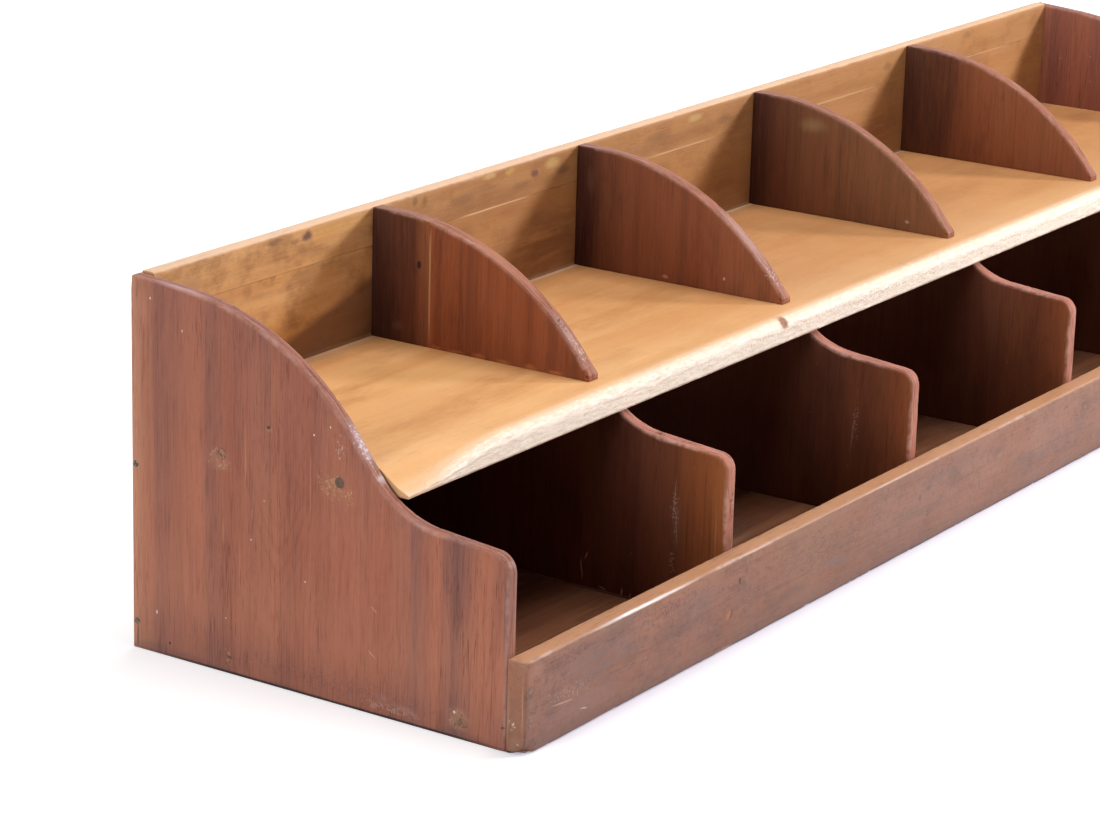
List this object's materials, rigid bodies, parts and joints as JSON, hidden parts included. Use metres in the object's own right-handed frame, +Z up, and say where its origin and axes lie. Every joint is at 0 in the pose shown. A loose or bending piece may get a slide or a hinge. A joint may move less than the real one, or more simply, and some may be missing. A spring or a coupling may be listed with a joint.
{
  "type": "pigeonhole mail sorter",
  "caption": "Long two-tier open wooden mail sorter with S-curved end panels, quarter-round dividers on a shelf, taller dividers under it and a low front rail.",
  "frame": {"origin": "centre of the footprint on the table", "axes": "+X along the length to the right end, -Y to the open front with the rail, +Z up"},
  "size_m": [1.1534, 0.28, 0.228],
  "materials": {
    "red_hardwood": "worn reddish-brown stain, dull satin",
    "golden_hardwood": "worn golden-brown varnish, satin",
    "brown_hardwood": "worn brown stain, dull satin",
    "nail_steel": "dull, slightly rusted",
    "wood_filler": "matt putty"
  },
  "bodies": {
    "root": {"left_end_panel": "red_hardwood", "right_end_panel": "red_hardwood", "upper_divider_1_rear": "red_hardwood", "upper_divider_1_front": "red_hardwood", "upper_divider_2": "red_hardwood", "upper_divider_3": "red_hardwood", "upper_divider_4": "red_hardwood", "lower_divider_1": "red_hardwood", "lower_divider_2": "red_hardwood", "lower_divider_3": "red_hardwood", "lower_divider_4": "red_hardwood", "back_lower_board": "golden_hardwood", "back_upper_board": "golden_hardwood", "shelf_board": "golden_hardwood", "front_rail": "brown_hardwood", "bottom_board": "brown_hardwood", "left_end_nails": "nail_steel", "right_end_nails": "nail_steel", "rail_nails": "nail_steel", "back_upper_nails": "nail_steel", "back_lower_nails": "nail_steel", "back_shelf_nails": "nail_steel", "back_bottom_nails": "nail_steel", "upper_foot_nails": "nail_steel", "lower_foot_nails": "nail_steel", "left_end_plugs": "wood_filler", "right_end_plugs": "wood_filler"}
  },
  "joints": []
}
